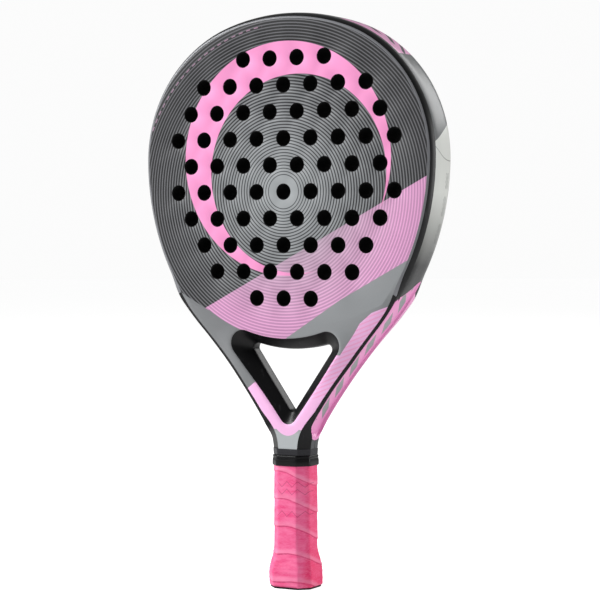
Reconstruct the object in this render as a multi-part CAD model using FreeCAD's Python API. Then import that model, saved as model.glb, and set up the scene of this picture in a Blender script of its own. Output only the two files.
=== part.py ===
import FreeCAD, Part
import math
import os

# Padel racket standing on its butt end, in millimetres.
# Origin: centre of the butt end. +Z runs up to the head's tip, +X across the head,
# and Y through its thickness, with the front face at -Y.

V = FreeCAD.Vector

# ---- driving dimensions -------------------------------------------------------
overall_length = 455.0
half_width = 130.0
half_thickness = 19.0

# outer outline of the frame: tangent arcs from the head's tip down to the neck
widest_z = 340.0
shoulder_radius = 112.0
side_radius = 200.0
side_end_angle = -42.0
arm_radius = 500.0
arm_end_angle = -31.5
neck_radius = 50.0
rim_rounding = 9.0

# the arms get thinner from the head down to the neck
taper_top_z = 212.0
taper_bottom_z = 138.0
neck_half_thickness = 13.3

# frame tube
tube_wall = 2.2
tube_width = 16.0
arm_top_z = 222.0
yoke_top_z = 126.0
neck_bottom_z = 106.0

# face sheets and foam core
sheet_thickness = 1.5
sheet_inset = 7.0
sheet_bottom_z = 207.0
core_bottom_z = 212.0
bottom_edge_radius = 200.0

# drilled holes: a triangular grid around the sweet spot
hole_radius = 6.0
hole_pitch = 24.2
sweet_spot_z = 314.1
holes_per_row = (4, 7, 8, 9, 8, 9, 8, 7, 6)
top_hole_row = 5
bottom_row_halfpitches = (-2, 0, 2)

# throat opening: a straight passage in the middle, with a wide bevel to each face
bridge_centre_z = 303.6
passage_half_depth = 5.0
mouth = {"bridge_r": 105.0, "corner_r": 11.0, "apex_z": 125.0, "slope": 0.748, "tip_r": 7.5}
passage = {"bridge_r": 113.8, "corner_r": 4.0, "apex_z": 138.4, "slope": 0.70, "tip_r": 3.5}

# bridge between the arms
bridge_half_length = 46.0
bridge_bottom_z = 186.0

# handle: two tube legs side by side, wrapped in two grips
leg_half_width = 14.2
leg_half_depth = 12.6
leg_chamfer = 6.4
leg_bottom_z = 4.0
cushion_thickness = 1.7
wrap_thickness = 0.6
grip_bottom_z = 4.0
grip_top_z = 100.5
grip_chamfer = 7.7
flare_growth = 3.0
flare_widest_z = 12.0
flare_top_z = 32.0

# butt cap
cap_plate = 4.0
cap_skirt_top_z = 30.0
cap_skirt_thickness = 0.3
cord_hole_radius = 3.0

# rubber collar and finishing tape at the top of the grip
collar_bottom_z = 97.5
collar_step_z = 101.5
collar_top_z = 105.6
collar_growth = 1.3
tape_bottom_z = 106.0
tape_top_z = 111.0
tape_thickness = 0.4

MARGIN = 10.0


# ---- small geometry helpers ---------------------------------------------------
def polar(cx, cz, radius, degrees):
    a = math.radians(degrees)
    return (cx + radius * math.cos(a), cz + radius * math.sin(a))


def at(point, y=0.0):
    return V(point[0], y, point[1])


def mirrored(point):
    return (-point[0], point[1])


def line(a, b, y=0.0):
    return Part.LineSegment(at(a, y), at(b, y)).toShape()


def arc(a, mid, b, y=0.0):
    return Part.Arc(at(a, y), at(mid, y), at(b, y)).toShape()


def prism(edges, y_low, y_high):
    """Solid between two Y planes from edges drawn in the plane Y = 0."""
    face = Part.Face(Part.Wire(edges))
    face.translate(V(0, y_low, 0))
    return face.extrude(V(0, y_high - y_low, 0))


def box(x_low, x_high, y_low, y_high, z_low, z_high):
    size = (x_high - x_low, y_high - y_low, z_high - z_low)
    return Part.makeBox(size[0], size[1], size[2], V(x_low, y_low, z_low))


def slab(z_low, z_high):
    reach = half_width + MARGIN
    return box(-reach, reach, -reach, reach, z_low, z_high)


# ---- outer outline ------------------------------------------------------------
def outline_arcs():
    """Right half of the outline, tip to neck: centre, radius, side, start and end angle.
    Side is +1 where the centre lies inside the frame and -1 where it lies outside."""
    rise = overall_length - widest_z
    shift = half_width - shoulder_radius
    crown_radius = (shift ** 2 + rise ** 2 - shoulder_radius ** 2) / (2 * (rise - shoulder_radius))
    crown_z = overall_length - crown_radius
    crown_end = math.degrees(math.atan2(widest_z - crown_z, shift))
    side_x = half_width - side_radius
    side_end = polar(side_x, widest_z, side_radius, side_end_angle)
    arm_centre = polar(side_end[0], side_end[1], arm_radius, side_end_angle)
    arm_end = polar(arm_centre[0], arm_centre[1], -arm_radius, arm_end_angle)
    neck_centre = polar(arm_end[0], arm_end[1], neck_radius, arm_end_angle)
    return (
        ((0.0, crown_z), crown_radius, 1, 90.0, crown_end),
        ((shift, widest_z), shoulder_radius, 1, crown_end, 0.0),
        ((side_x, widest_z), side_radius, 1, 0.0, side_end_angle),
        (arm_centre, arm_radius, -1, side_end_angle, arm_end_angle),
        (neck_centre, neck_radius, -1, arm_end_angle, 0.0),
    )


def arc_points(part, inset):
    """Start, middle and end of one outline arc, moved inwards by inset."""
    centre, radius, side, start, end = part
    reach = side * radius - inset
    angles = (start, (start + end) / 2, end)
    return [polar(centre[0], centre[1], reach, a) for a in angles]


def full_outline(inset, z_low):
    right = [arc_points(part, inset) for part in outline_arcs()]
    foot = (right[-1][2][0], z_low)
    edges = [arc(a, m, b) for a, m, b in right]
    edges.append(line(right[-1][2], foot))
    edges.append(line(foot, mirrored(foot)))
    edges.append(line(mirrored(foot), mirrored(right[-1][2])))
    edges += [arc(mirrored(b), mirrored(m), mirrored(a)) for a, m, b in reversed(right)]
    return edges


def head_outline(inset, bottom_z):
    """The outline moved inwards and closed under the hitting area by a wide arc."""
    crown, shoulder, side = outline_arcs()[:3]
    centre, radius = side[0], side[1] - inset
    bottom_centre = (0.0, bottom_z + bottom_edge_radius)
    dx, dz = centre[0] - bottom_centre[0], centre[1] - bottom_centre[1]
    gap = math.hypot(dx, dz)
    along = (bottom_edge_radius ** 2 - radius ** 2 + gap ** 2) / (2 * gap)
    across = math.sqrt(bottom_edge_radius ** 2 - along ** 2)
    corner = (bottom_centre[0] + (along * dx - across * dz) / gap,
              bottom_centre[1] + (along * dz + across * dx) / gap)
    corner_angle = math.degrees(math.atan2(corner[1] - centre[1], corner[0] - centre[0]))
    right = [arc_points(part, inset) for part in (crown, shoulder)]
    right.append(arc_points((side[0], side[1], 1, 0.0, corner_angle), inset))
    edges = [arc(a, m, b) for a, m, b in right]
    corner = right[-1][2]
    edges.append(arc(corner, (0.0, bottom_z), mirrored(corner)))
    edges += [arc(mirrored(b), mirrored(m), mirrored(a)) for a, m, b in reversed(right)]
    return edges


# ---- solid envelope of the moulded frame --------------------------------------
def side_profile(inset, z_low):
    """Front and back boundaries of the frame in the YZ plane, as one closed face."""
    head_y = half_thickness - inset
    neck_y = neck_half_thickness - inset
    half_drop = (head_y - neck_y) / 2
    half_run = (taper_top_z - taper_bottom_z) / 2
    radius = (half_run ** 2 + half_drop ** 2) / (2 * half_drop)
    half_angle = math.atan2(half_drop, half_run)
    sag = radius * (1 - math.cos(half_angle))
    run = radius * math.sin(half_angle)
    points = (
        (head_y, overall_length + MARGIN),
        (head_y, taper_top_z),
        (head_y - sag, taper_top_z - run),
        ((head_y + neck_y) / 2, (taper_top_z + taper_bottom_z) / 2),
        (neck_y + sag, taper_bottom_z + run),
        (neck_y, taper_bottom_z),
        (neck_y, z_low),
    )
    back = [V(0, y, z) for y, z in points]
    front = [V(0, -y, z) for y, z in points]
    edges = []
    for side in (back, front):
        edges.append(Part.LineSegment(side[0], side[1]).toShape())
        edges.append(Part.Arc(side[1], side[2], side[3]).toShape())
        edges.append(Part.Arc(side[3], side[4], side[5]).toShape())
        edges.append(Part.LineSegment(side[5], side[6]).toShape())
    edges.append(Part.LineSegment(back[0], front[0]).toShape())
    edges.append(Part.LineSegment(back[-1], front[-1]).toShape())
    return Part.Face(Part.Wire(Part.__sortEdges__(edges)))


def rim_edges(solid):
    """Edges between the side wall and the front or back of the frame."""
    walls, covers = [], []
    for face in solid.Faces:
        u0, u1, v0, v1 = face.ParameterRange
        normal = face.normalAt((u0 + u1) / 2, (v0 + v1) / 2)
        if abs(normal.y) > 0.8:
            covers.append(face)
        elif abs(normal.y) < 0.01 and abs(normal.z + 1) > 0.01:
            walls.append(face)
    cover_edges = {e.hashCode() for f in covers for e in f.Edges}
    return [e for f in walls for e in f.Edges if e.hashCode() in cover_edges]


def envelope(inset, z_low, rounding):
    reach = half_width + MARGIN
    plan = prism(full_outline(inset, z_low), -half_thickness - MARGIN, half_thickness + MARGIN)
    side = side_profile(inset, z_low)
    side.translate(V(-reach, 0, 0))
    solid = plan.common(side.extrude(V(2 * reach, 0, 0)))
    return solid.makeFillet(rounding, rim_edges(solid))


# ---- throat opening -----------------------------------------------------------
def throat_points(shape):
    """Right half of a throat outline: tip, side line, corner and bridge arc points."""
    half_angle = math.atan(shape["slope"])
    sin_a, cos_a = math.sin(half_angle), math.cos(half_angle)
    corner_r, bridge_r, tip_r = shape["corner_r"], shape["bridge_r"], shape["tip_r"]
    # the corner's centre lies corner_r inside the side line, and its arc touches the bridge arc
    foot = (-corner_r * cos_a, shape["apex_z"] + corner_r * sin_a - bridge_centre_z)
    half_b = foot[0] * sin_a + foot[1] * cos_a
    rest = foot[0] ** 2 + foot[1] ** 2 - (bridge_r + corner_r) ** 2
    run = -half_b - math.sqrt(half_b ** 2 - rest)
    corner = (foot[0] + run * sin_a, foot[1] + run * cos_a + bridge_centre_z)
    tip = (0.0, shape["apex_z"] + tip_r / sin_a)
    side_normal = -math.degrees(half_angle)
    to_bridge = math.degrees(math.atan2(bridge_centre_z - corner[1], -corner[0]))
    return {
        "tip_low": (0.0, tip[1] - tip_r),
        "tip_end": polar(tip[0], tip[1], tip_r, side_normal),
        "corner_start": polar(corner[0], corner[1], corner_r, side_normal),
        "corner_mid": polar(corner[0], corner[1], corner_r, (side_normal + to_bridge) / 2),
        "corner_end": polar(corner[0], corner[1], corner_r, to_bridge),
        "bridge_mid": (0.0, bridge_centre_z - bridge_r),
    }


def throat_wire(shape, depth_at):
    """Closed throat outline, where depth_at(z) gives each point's Y."""
    p = throat_points(shape)

    def place(point):
        return V(point[0], depth_at(point[1]), point[1])

    def bow(a, mid, b):
        return Part.Arc(place(a), place(mid), place(b)).toShape()

    def run(a, b):
        return Part.LineSegment(place(a), place(b)).toShape()

    return Part.Wire([
        bow(mirrored(p["tip_end"]), p["tip_low"], p["tip_end"]),
        run(p["tip_end"], p["corner_start"]),
        bow(p["corner_start"], p["corner_mid"], p["corner_end"]),
        bow(p["corner_end"], p["bridge_mid"], mirrored(p["corner_end"])),
        bow(mirrored(p["corner_end"]), mirrored(p["corner_mid"]), mirrored(p["corner_start"])),
        run(mirrored(p["corner_start"]), mirrored(p["tip_end"])),
    ])


def surface_depth(z):
    """Straight-line estimate of the frame's half thickness along the throat."""
    share = (z - taper_bottom_z) / (taper_top_z - taper_bottom_z)
    return neck_half_thickness + share * (half_thickness - neck_half_thickness)


def throat_cutter():
    """Passage through the frame, with the bevels that open it to both faces."""
    outside = half_thickness + MARGIN
    inner = Part.Face(throat_wire(passage, lambda z: -outside))
    cutter = inner.extrude(V(0, 2 * outside, 0))
    for side in (-1, 1):
        waist = throat_wire(passage, lambda z: side * passage_half_depth)
        rim = throat_wire(mouth, lambda z: side * surface_depth(z))
        cutter = cutter.fuse(Part.makeLoft([waist, rim], True, True))
        cutter = cutter.fuse(Part.Face(rim).extrude(V(0, side * MARGIN, 0)))
    return cutter


# ---- holes --------------------------------------------------------------------
def hole_places():
    row_step = hole_pitch * math.sqrt(3) / 2
    places = []
    for index, count in enumerate(holes_per_row):
        z = sweet_spot_z + (top_hole_row - index) * row_step
        places += [((2 * i - count + 1) * hole_pitch / 2, z) for i in range(count)]
    last_z = sweet_spot_z + (top_hole_row - len(holes_per_row)) * row_step
    places += [(half * hole_pitch / 2, last_z) for half in bottom_row_halfpitches]
    return places


def drill(solid):
    reach = half_thickness + MARGIN
    drills = [Part.makeCylinder(hole_radius, 2 * reach, V(x, -reach, z), V(0, 1, 0))
              for x, z in hole_places()]
    return solid.cut(Part.makeCompound(drills))


# ---- head: hoop, core, face sheets --------------------------------------------
def face_sheet(side):
    inner_y = half_thickness - sheet_thickness
    low, high = sorted((side * inner_y, side * half_thickness))
    return drill(prism(head_outline(sheet_inset, sheet_bottom_z), low, high))


def foam_core():
    reach = half_thickness - sheet_thickness
    return drill(prism(head_outline(tube_width, core_bottom_z), -reach, reach))


def head_opening():
    """Everything inside the frame that the core and the two face sheets fill."""
    reach = half_thickness + MARGIN
    inner_y = half_thickness - sheet_thickness
    opening = prism(head_outline(tube_width, core_bottom_z), -reach, reach)
    for low, high in ((-reach, -inner_y), (inner_y, reach)):
        opening = opening.fuse(prism(head_outline(sheet_inset, sheet_bottom_z), low, high))
    return opening


def tube_hollow():
    """Inside of the frame tube around the head and down both arms."""
    hollow = envelope(tube_wall, neck_bottom_z, rim_rounding - tube_wall)
    reach = half_thickness - sheet_thickness - tube_wall
    hollow = hollow.common(box(-half_width, half_width, -reach, reach, yoke_top_z, overall_length))
    ring_width = tube_width - tube_wall
    hollow = hollow.cut(prism(head_outline(ring_width, core_bottom_z - tube_wall), -reach, reach))
    arm_wall = dict(mouth)
    arm_wall["apex_z"] -= tube_wall / math.sin(math.atan(mouth["slope"]))
    arm_wall["corner_r"] += tube_wall
    arm_wall["bridge_r"] -= tube_wall
    throat = Part.Face(throat_wire(arm_wall, lambda z: -reach))
    hollow = hollow.cut(throat.extrude(V(0, 2 * reach, 0)))
    reach_x = bridge_half_length
    solid_block = box(-reach_x, reach_x, -reach, reach, yoke_top_z, arm_top_z)
    between = solid_block.common(prism(head_outline(0.0, bridge_bottom_z), -reach, reach))
    hollow = hollow.cut(between)
    return hollow.cut(box(-tube_wall, tube_wall, -reach, reach, yoke_top_z, arm_top_z))


def bridge_hollow():
    reach = half_thickness - sheet_thickness - tube_wall
    top = core_bottom_z - tube_wall
    bottom = bridge_centre_z - mouth["bridge_r"] + tube_wall
    half_length = bridge_half_length - 4 * tube_wall
    corner = (half_length, top + half_length ** 2 / (2 * bottom_edge_radius))
    foot = (half_length, bottom + half_length ** 2 / (2 * mouth["bridge_r"]))
    return prism([
        arc(mirrored(corner), (0.0, top), corner),
        line(corner, foot),
        arc(foot, (0.0, bottom), mirrored(foot)),
        line(mirrored(foot), mirrored(corner)),
    ], -reach, reach)


def frame_parts():
    """The carbon tube as head hoop, two arms, bridge and neck yoke."""
    shell = envelope(0.0, neck_bottom_z, rim_rounding)
    shell = shell.cut(throat_cutter()).cut(head_opening())
    reach = half_width + MARGIN
    span = box(-bridge_half_length, bridge_half_length, -reach, reach, bridge_bottom_z, arm_top_z)
    bridge = shell.common(span).cut(bridge_hollow())
    tube = shell.cut(span).cut(tube_hollow())
    arms = tube.common(slab(yoke_top_z, arm_top_z))
    return {
        "head_hoop": tube.common(slab(arm_top_z, overall_length + MARGIN)),
        "left_arm": arms.common(box(-reach, 0, -reach, reach, 0, overall_length)),
        "right_arm": arms.common(box(0, reach, -reach, reach, 0, overall_length)),
        "throat_bridge": bridge,
        "neck_yoke": tube.common(slab(neck_bottom_z, yoke_top_z)),
    }


# ---- handle -------------------------------------------------------------------
def octagon(half_x, half_y, chamfer, z):
    inner_x, inner_y = half_x - chamfer, half_y - chamfer
    corners = [(half_x, -inner_y), (half_x, inner_y), (inner_x, half_y), (-inner_x, half_y),
               (-half_x, inner_y), (-half_x, -inner_y), (-inner_x, -half_y), (inner_x, -half_y)]
    points = [V(x, y, z) for x, y in corners]
    return Part.makePolygon(points + points[:1])


def octagon_loft(sections):
    return Part.makeLoft([octagon(*section) for section in sections], True, True)


def grip_growth(z):
    """How far the grip's surface flares out near the butt end."""
    if z <= flare_widest_z:
        return flare_growth
    return flare_growth * max(0.0, (flare_top_z - z) / (flare_top_z - flare_widest_z))


def grip_envelope(skin, z_low, z_high):
    """Octagonal handle volume, skin millimetres outside the tube legs."""
    levels = [z_low] + [z for z in (flare_widest_z, flare_top_z) if z_low < z < z_high] + [z_high]
    sections = []
    for z in levels:
        grown = skin + grip_growth(z)
        chamfer = leg_chamfer + (grip_chamfer - leg_chamfer) * skin / (cushion_thickness + wrap_thickness)
        sections.append((leg_half_width + grown, leg_half_depth + grown, chamfer, z))
    return octagon_loft(sections)


def leg_block(inset, z_low, z_high):
    sizes = (leg_half_width - inset, leg_half_depth - inset, leg_chamfer - 0.4 * inset)
    return octagon_loft([sizes + (z_low,), sizes + (z_high,)])


def leg_sides():
    reach = 2 * leg_half_width
    return {
        "left": box(-reach, 0, -reach, reach, 0, overall_length),
        "right": box(0, reach, -reach, reach, 0, overall_length),
    }


def handle_parts():
    outer = leg_block(0.0, leg_bottom_z, neck_bottom_z)
    inner = leg_block(tube_wall, leg_bottom_z, neck_bottom_z)
    web = box(-tube_wall / 2, tube_wall / 2, -half_thickness, half_thickness, 0, overall_length)
    inner = inner.cut(web)
    parts = {}
    for side, region in leg_sides().items():
        parts[side + "_leg_tube"] = outer.cut(inner).common(region)
        parts[side + "_leg_foam"] = inner.common(region)
    return parts


def butt_cap():
    plate = leg_block(-cushion_thickness - wrap_thickness - flare_growth + 0.5, 0.0, cap_plate)
    rounded = plate.makeFillet(1.2, [e for e in plate.Edges if e.BoundBox.ZMax < 0.01])
    skirt = octagon_loft([
        (leg_half_width + flare_growth, leg_half_depth + flare_growth, leg_chamfer, cap_plate),
        (leg_half_width + flare_growth, leg_half_depth + flare_growth, leg_chamfer, flare_widest_z),
        (leg_half_width + cap_skirt_thickness, leg_half_depth + cap_skirt_thickness, leg_chamfer,
         cap_skirt_top_z),
    ])
    cap = rounded.fuse(skirt).cut(leg_block(0.0, cap_plate, cap_skirt_top_z + MARGIN))
    hole = Part.makeCylinder(cord_hole_radius, 2 * cap_plate, V(0, 0, -cap_plate / 2))
    return cap.cut(hole).removeSplitter()


def grip_parts(cap):
    legs = leg_block(0.0, leg_bottom_z, neck_bottom_z)
    cushion = grip_envelope(cushion_thickness, grip_bottom_z, grip_top_z).cut(legs).cut(cap)
    outside = cushion_thickness + wrap_thickness
    wrap = grip_envelope(outside, grip_bottom_z, grip_top_z)
    wrap = wrap.cut(grip_envelope(cushion_thickness, grip_bottom_z, grip_top_z)).cut(cap)
    return {"cushion_grip": cushion, "overgrip": wrap}


def rubber_collar():
    skin = cushion_thickness + wrap_thickness
    half_x, half_y = leg_half_width + skin, leg_half_depth + skin
    skirt_levels = ((collar_bottom_z, 0.7), (collar_bottom_z + 1.0, 1.0), (collar_step_z, 1.0))
    skirt = octagon_loft([
        (half_x + share * collar_growth, half_y + share * collar_growth, grip_chamfer, z)
        for z, share in skirt_levels
    ])
    top = octagon_loft([
        (half_x + share * collar_growth, half_y + share * collar_growth, grip_chamfer, z)
        for z, share in ((collar_step_z, 0.4), (collar_top_z, 0.4))
    ])
    collar = skirt.fuse(top).cut(leg_block(0.0, collar_bottom_z - MARGIN, collar_top_z + MARGIN))
    return collar.cut(grip_envelope(skin, flare_top_z, grip_top_z))


def finishing_tape():
    outer = envelope(-tape_thickness, neck_bottom_z, rim_rounding + tape_thickness)
    inner = envelope(0.0, neck_bottom_z, rim_rounding)
    return outer.cut(inner).common(slab(tape_bottom_z, tape_top_z))


# ---- export -------------------------------------------------------------------
def build_parts():
    parts = frame_parts()
    parts["foam_core"] = foam_core()
    parts["front_face"] = face_sheet(-1)
    parts["back_face"] = face_sheet(1)
    parts.update(handle_parts())
    parts["butt_cap"] = butt_cap()
    parts.update(grip_parts(parts["butt_cap"]))
    parts["rubber_collar"] = rubber_collar()
    parts["finishing_tape"] = finishing_tape()
    return parts


os.makedirs("parts", exist_ok=True)
for name, shape in build_parts().items():
    solids = shape.Solids
    piece = solids[0] if len(solids) == 1 else Part.makeCompound(solids)
    print(name, len(solids), "solid(s)", round(piece.Volume / 1000, 2), "cm3", piece.isValid())
    piece.exportStep("parts/" + name + ".step")
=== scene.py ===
import math

import bmesh
import bpy
import numpy as np
from mathutils import Matrix, Vector
from mathutils.geometry import delaunay_2d_cdt


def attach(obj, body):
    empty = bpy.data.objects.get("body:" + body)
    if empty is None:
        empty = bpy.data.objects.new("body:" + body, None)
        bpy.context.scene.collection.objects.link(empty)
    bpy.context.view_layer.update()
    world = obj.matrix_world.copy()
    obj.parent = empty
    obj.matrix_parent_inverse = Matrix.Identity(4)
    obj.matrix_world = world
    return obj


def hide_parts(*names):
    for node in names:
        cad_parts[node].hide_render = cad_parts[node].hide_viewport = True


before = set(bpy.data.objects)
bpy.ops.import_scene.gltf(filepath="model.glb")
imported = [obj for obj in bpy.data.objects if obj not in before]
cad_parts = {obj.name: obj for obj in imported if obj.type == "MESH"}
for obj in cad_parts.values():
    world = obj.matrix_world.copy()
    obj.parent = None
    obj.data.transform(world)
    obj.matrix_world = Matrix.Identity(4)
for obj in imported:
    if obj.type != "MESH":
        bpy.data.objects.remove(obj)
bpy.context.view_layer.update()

# Padel racket, standing on its butt end. Lengths below are in millimetres and are
# turned into metres when a mesh is made. The front face looks along -Y.
MM = 0.001

# ---- camera and floor ----
CAMERA_PLACE = (784.8, -1426.9, 278.5)
CAMERA_AZIMUTH = 28.68
CAMERA_TILT_DOWN = 1.76
CAMERA_ROLL = -0.14
CAMERA_LENS = 123.06
SENSOR_WIDTH = 36.0

# ---- the frame's driving dimensions, as in the CAD ----
LENGTH = 455.0
HALF_WIDTH = 130.0
HALF_DEPTH = 19.0
WIDEST_Z = 340.0
SHOULDER_R = 112.0
SIDE_R = 200.0
SIDE_END = -42.0
ARM_R = 500.0
ARM_END = -31.5
NECK_R = 50.0
NECK_BOTTOM_Z = 106.0
TAPER_TOP_Z = 212.0
TAPER_BOTTOM_Z = 138.0
NECK_HALF_DEPTH = 13.3
SHEET_INSET = 7.0
SHEET_BOTTOM_Z = 207.0
SHEET_THICKNESS = 1.5
CORE_INSET = 16.0
CORE_BOTTOM_Z = 212.0
BOTTOM_R = 200.0
HOLE_R = 6.0
HOLE_PITCH = 24.2
SWEET_SPOT_Z = 314.1
HOLES_PER_ROW = (4, 7, 8, 9, 8, 9, 8, 7, 6)
TOP_HOLE_ROW = 5
BOTTOM_ROW_HALFPITCHES = (-2, 0, 2)
BRIDGE_CENTRE_Z = 303.6
PASSAGE_HALF_DEPTH = 5.0
MOUTH = {"bridge_r": 105.0, "corner_r": 11.0, "apex_z": 125.0, "slope": 0.748, "tip_r": 7.5}
PASSAGE = {"bridge_r": 113.8, "corner_r": 4.0, "apex_z": 138.4, "slope": 0.70, "tip_r": 3.5}

# ---- the moulded step on the sides, where the recessed channel begins ----
STEP_FRONT_Z = 232.0
STEP_BACK_Z = 243.0
CHANNEL_END_Z = 129.5
CHANNEL_END_R = 9.0
FRONT_LIP_TOP_Z = 250.0
FRONT_LIP_FULL_Z = 226.0
FINE_STATIONS_LOW = 118.0
FINE_STATIONS_HIGH = 133.0

# ---- how finely the meshes are divided ----
STATION_GAP = 2.2
FINE_STATION_GAP = 1.0
STEP_HALF_GAP = 0.45
HOLE_SIDES = 48
SHEET_SPACING = 3.0
PASSAGE_EDGE = 1.6
WRAP_LEVEL_STEP = 0.5


# ---- small helpers ----
def smooth(value, low, high):
    """0 below low, 1 above high, and an S-curve between; low may be above high."""
    t = np.clip((value - low) / (high - low), 0.0, 1.0)
    return t * t * (3 - 2 * t)


def mix(a, b, share):
    return a + (b - a) * share


def arc_points(cx, cz, radius, start, end, count):
    """count points along an arc, both ends included, as an array of x, z."""
    a = np.radians(np.linspace(start, end, count))
    return np.stack([cx + radius * np.cos(a), cz + radius * np.sin(a)], axis=1)


def polar(cx, cz, radius, degrees):
    a = math.radians(degrees)
    return (cx + radius * math.cos(a), cz + radius * math.sin(a))


# ---- outline of the frame ----
def outline_arcs():
    """Right half of the outline, tip to neck: centre, radius, side, start and end angle."""
    rise = LENGTH - WIDEST_Z
    shift = HALF_WIDTH - SHOULDER_R
    crown_r = (shift ** 2 + rise ** 2 - SHOULDER_R ** 2) / (2 * (rise - SHOULDER_R))
    crown_z = LENGTH - crown_r
    crown_end = math.degrees(math.atan2(WIDEST_Z - crown_z, shift))
    side_x = HALF_WIDTH - SIDE_R
    side_end = polar(side_x, WIDEST_Z, SIDE_R, SIDE_END)
    arm_centre = polar(*side_end, ARM_R, SIDE_END)
    arm_end = polar(*arm_centre, -ARM_R, ARM_END)
    neck_centre = polar(*arm_end, NECK_R, ARM_END)
    return (
        ((0.0, crown_z), crown_r, 1, 90.0, crown_end),
        ((shift, WIDEST_Z), SHOULDER_R, 1, crown_end, 0.0),
        ((side_x, WIDEST_Z), SIDE_R, 1, 0.0, SIDE_END),
        (arm_centre, ARM_R, -1, SIDE_END, ARM_END),
        (neck_centre, NECK_R, -1, ARM_END, 0.0),
    )


class Outline:
    """The outline's right half by distance along it from the tip of the head."""

    def __init__(self):
        rows = []
        for centre, radius, side, start, end in outline_arcs():
            count = int(radius * math.radians(abs(start - end)) * 4) + 2
            a = np.radians(np.linspace(start, end, count))
            x = centre[0] + side * radius * np.cos(a)
            z = centre[1] + side * radius * np.sin(a)
            rows.append(np.stack([x, z, np.cos(a), np.sin(a)], axis=1))
        rows.append(np.array([[rows[-1][-1][0], NECK_BOTTOM_Z, 1.0, 0.0]]))
        table = np.concatenate(rows)
        steps = np.hypot(np.diff(table[:, 0]), np.diff(table[:, 1]))
        keep = np.concatenate([[True], steps > 1e-6])
        self.table = table[keep]
        steps = np.hypot(np.diff(self.table[:, 0]), np.diff(self.table[:, 1]))
        self.along = np.concatenate([[0.0], np.cumsum(steps)])
        self.length = self.along[-1]

    def at(self, s):
        """x, z and the outward normal's x, z at distances s."""
        return [np.interp(s, self.along, self.table[:, k]) for k in range(4)]

    def where(self, z):
        """Distance along the outline to height z."""
        return np.interp(-np.asarray(z, float), -self.table[:, 1], self.along)


outline = Outline()


def head_loop(inset, bottom_z, spacing):
    """Closed loop inside the outline, cut off below by a wide arc; right half, then left."""
    arcs = outline_arcs()
    crown, shoulder, side = arcs[:3]
    side_r = side[1] - inset
    bottom_centre = (0.0, bottom_z + BOTTOM_R)
    dx, dz = side[0][0] - bottom_centre[0], side[0][1] - bottom_centre[1]
    gap = math.hypot(dx, dz)
    along = (BOTTOM_R ** 2 - side_r ** 2 + gap ** 2) / (2 * gap)
    across = math.sqrt(BOTTOM_R ** 2 - along ** 2)
    corner = (bottom_centre[0] + (along * dx - across * dz) / gap,
              bottom_centre[1] + (along * dz + across * dx) / gap)
    corner_angle = math.degrees(math.atan2(corner[1] - side[0][1], corner[0] - side[0][0]))
    foot_angle = math.degrees(math.atan2(corner[1] - bottom_centre[1], corner[0]))
    runs = [
        (crown[0], crown[1] - inset, 90.0, crown[4]),
        (shoulder[0], shoulder[1] - inset, crown[4], 0.0),
        (side[0], side_r, 0.0, corner_angle),
        (bottom_centre, BOTTOM_R, foot_angle, -90.0),
    ]
    counts = [max(3, round(abs(math.radians(b - a)) * r / spacing)) for _, r, a, b in runs]
    return runs, counts


def head_points(inset, bottom_z, counts):
    """The head's loop as points, with given counts on its arcs."""
    runs, _ = head_loop(inset, bottom_z, 1.0)
    half = [arc_points(c[0], c[1], r, a, b, n + 1)[:-1] for (c, r, a, b), n in zip(runs, counts)]
    right = np.concatenate(half + [np.array([[0.0, bottom_z]])])
    left = right[1:-1][::-1] * np.array([-1.0, 1.0])
    return np.concatenate([right, left])


# ---- cross-section of the frame's side ----
# each row: inset from the outline and half depth, from the face's edge to the middle
HEAD_SECTION = ((5.3, 19.0), (4.4, 18.8), (3.6, 18.1), (2.1, 15.9), (0.9, 13.2),
                (0.25, 10.2), (0.0, 7.5), (0.0, 3.6), (0.0, 0.0))
CHANNEL_SECTION = ((1.4, 10.9), (3.6, 10.3), (3.9, 9.3), (3.9, 4.6), (3.9, 0.0))
NECK_CORNERS = ((8.25, 13.3), (6.3, 11.5), (1.4, 7.1), (0.0, 5.8))
# height, then the insets of the face's edge, the lip and the channel's floor
ARM_INSETS = ((112, 5.3, 1.3, 3.9), (140, 4.1, 1.0, 3.65), (160, 3.2, 0.6, 2.5), (180, 2.6, 0.0, 2.1),
              (200, 2.3, 0.0, 1.6), (220, 2.5, 0.0, 1.6), (250, 5.3, 0.0, 1.6))
# height, then the half depth at the face's edge
LIP_EDGE_HEIGHTS = ((106, 13.3), (112, 13.3), (120, 12.7), (140, 13.0), (160, 13.1), (180, 12.4),
                    (200, 14.1), (220, 16.3), (235, 18.6), (246, 19.0), (455, 19.0))


def edge_depth(z):
    """Half depth at the edge between the face and the side."""
    table = np.array(LIP_EDGE_HEIGHTS)
    fine = np.linspace(-4.0, 4.0, 9)
    return np.mean([np.interp(z + step, table[:, 0], table[:, 1]) for step in fine], axis=0)


def face_depth(z):
    """Half depth of the frame along its middle: full at the head, less at the neck."""
    drop = HALF_DEPTH - NECK_HALF_DEPTH
    share = np.clip((TAPER_TOP_Z - z) / (TAPER_TOP_Z - TAPER_BOTTOM_Z), 0.0, 1.0)
    bow = np.where(share < 0.5, 2 * share ** 2, 1 - 2 * (1 - share) ** 2)
    return HALF_DEPTH - drop * bow


def arm_insets(z):
    """Insets of the face edge, the lip and the channel floor at height z."""
    table = np.array(ARM_INSETS)
    return [np.interp(z, table[:, 0], table[:, column]) for column in (1, 2, 3)]


def row_warp(depth):
    """Shift along the outline that slants the channel's upper end from front to back."""
    slant = outline.where(STEP_FRONT_Z) - outline.where(STEP_BACK_Z)
    return slant / 2 * np.clip(depth / 10.0, -1.05, 1.05)


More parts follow.
